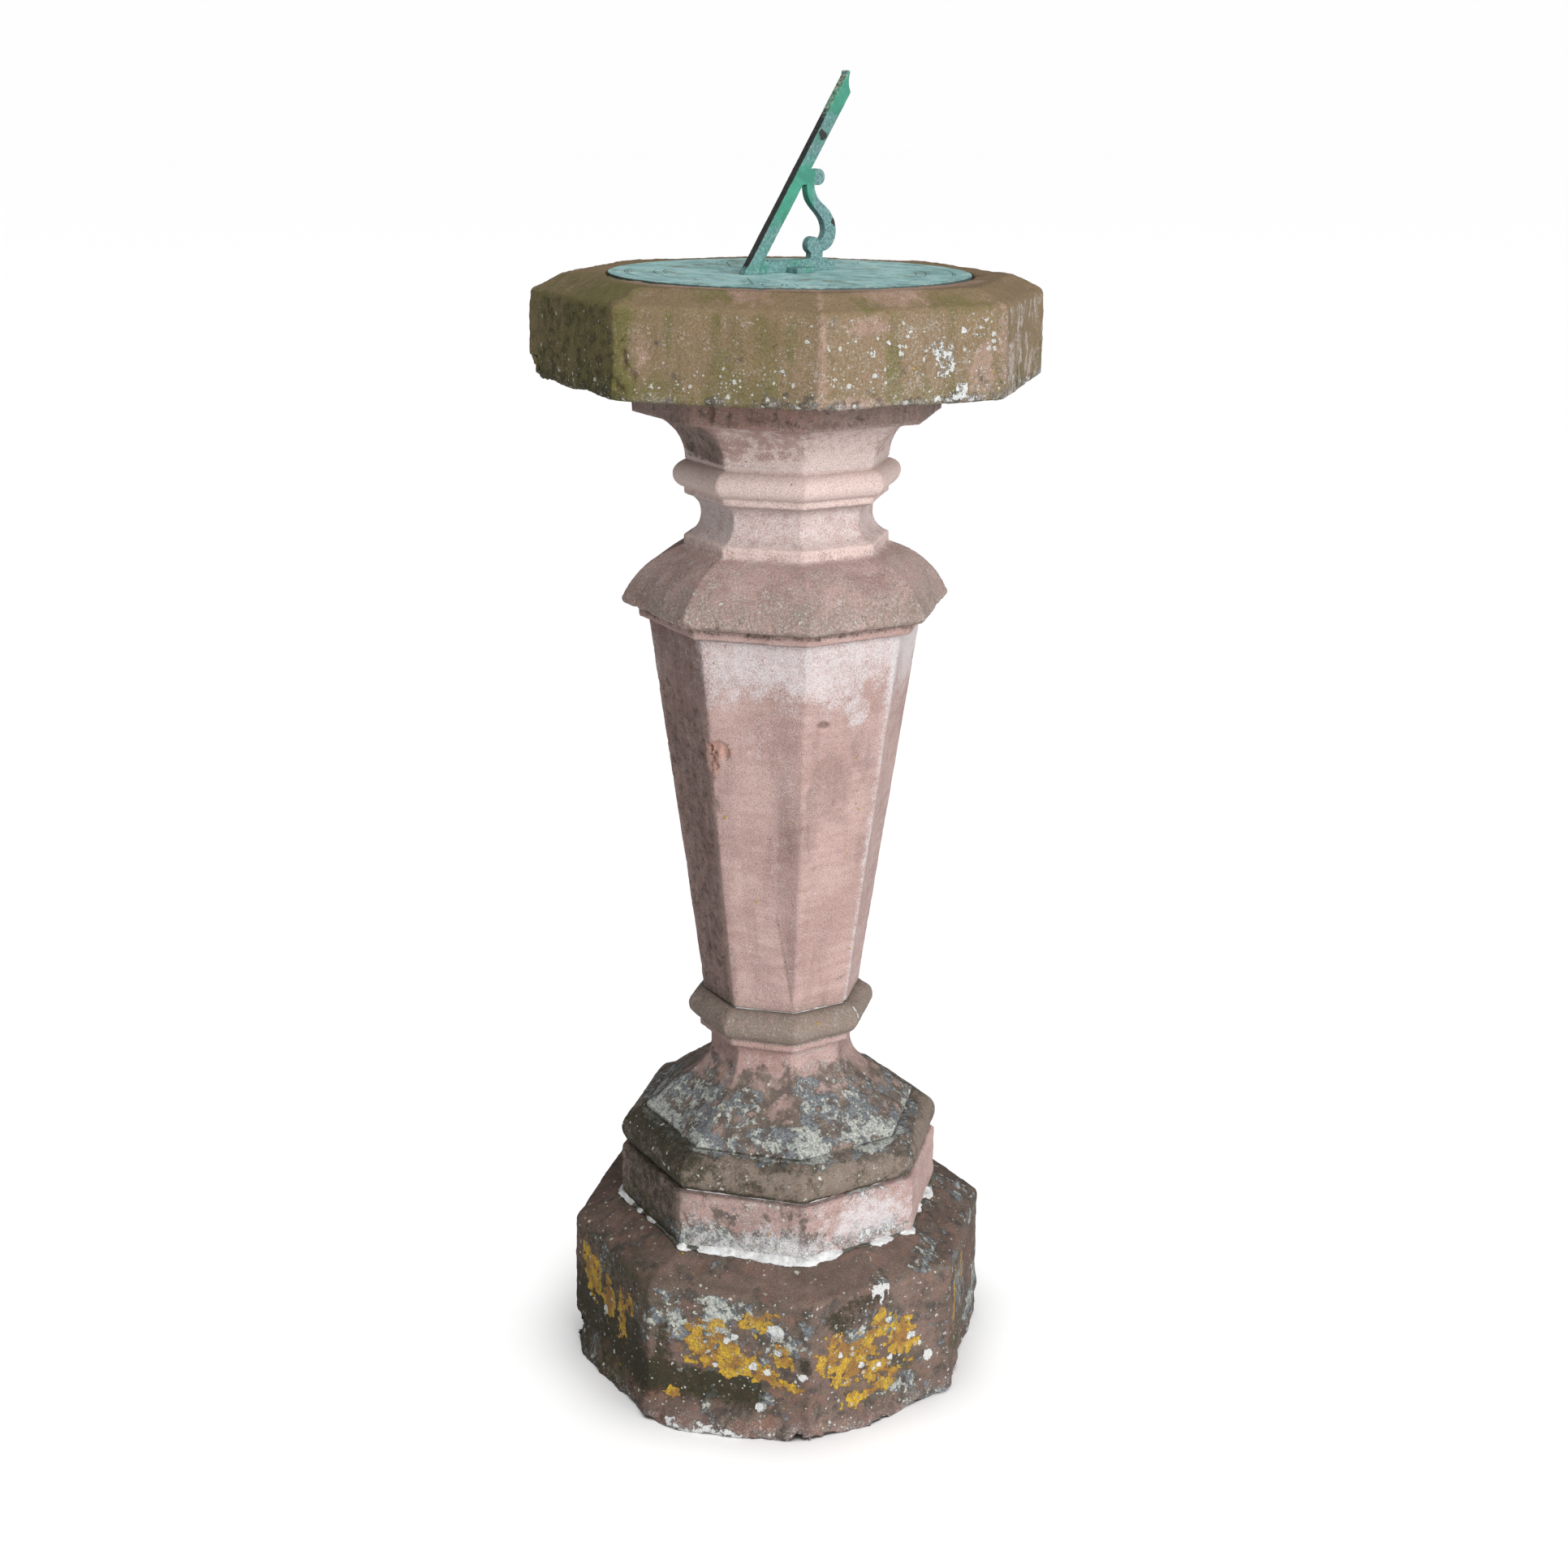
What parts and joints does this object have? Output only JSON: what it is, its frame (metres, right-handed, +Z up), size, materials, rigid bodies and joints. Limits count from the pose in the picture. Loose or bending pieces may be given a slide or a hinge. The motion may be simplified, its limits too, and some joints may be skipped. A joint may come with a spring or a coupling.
{
  "type": "garden sundial",
  "caption": "Octagonal sandstone pedestal with a moulded foot and capital, a broad table slab, and a round verdigris dial plate with an open scrolled gnomon.",
  "frame": {"origin": "centre of the base block's underside, on the ground", "axes": "+Z up, +Y true north along the gnomon (its toe is to the south), +X east"},
  "size_m": [0.4232, 0.4232, 1.1444],
  "materials": {
    "base_sandstone": "weathered, mossy, with lichen",
    "column_sandstone": "weathered, rubbed, with lime bloom and algae",
    "table_sandstone": "weathered, covered in algae and lichen specks",
    "lime_mortar": "rough, chalky",
    "dowel_bronze": "drawn bar",
    "lead": "dull cast lead",
    "mastic": "matt putty",
    "dial_bronze": "engraved, verdigris",
    "screw_bronze": "turned, verdigris",
    "gnomon_bronze": "cast, verdigris with dark worn edges"
  },
  "bodies": {
    "root": {"base_block": "base_sandstone", "base_mortar_bed": "lime_mortar", "mortar_pointing": "lime_mortar", "plinth_stone": "column_sandstone", "plinth_mortar_bed": "lime_mortar", "foot_stone": "column_sandstone", "foot_dowel": "dowel_bronze", "shaft_mortar_bed": "lime_mortar", "shaft_dowel": "dowel_bronze", "shaft_stone": "column_sandstone", "capital_mortar_bed": "lime_mortar", "capital_dowel": "dowel_bronze", "capital_stone": "column_sandstone", "slab_mortar_bed": "lime_mortar", "slab_dowel": "dowel_bronze", "table_slab": "table_sandstone", "screw_plugs": "lead", "plate_bedding": "mastic", "dial_plate": "dial_bronze", "plate_screws": "screw_bronze", "gnomon": "gnomon_bronze", "gnomon_screws": "screw_bronze"}
  },
  "joints": []
}
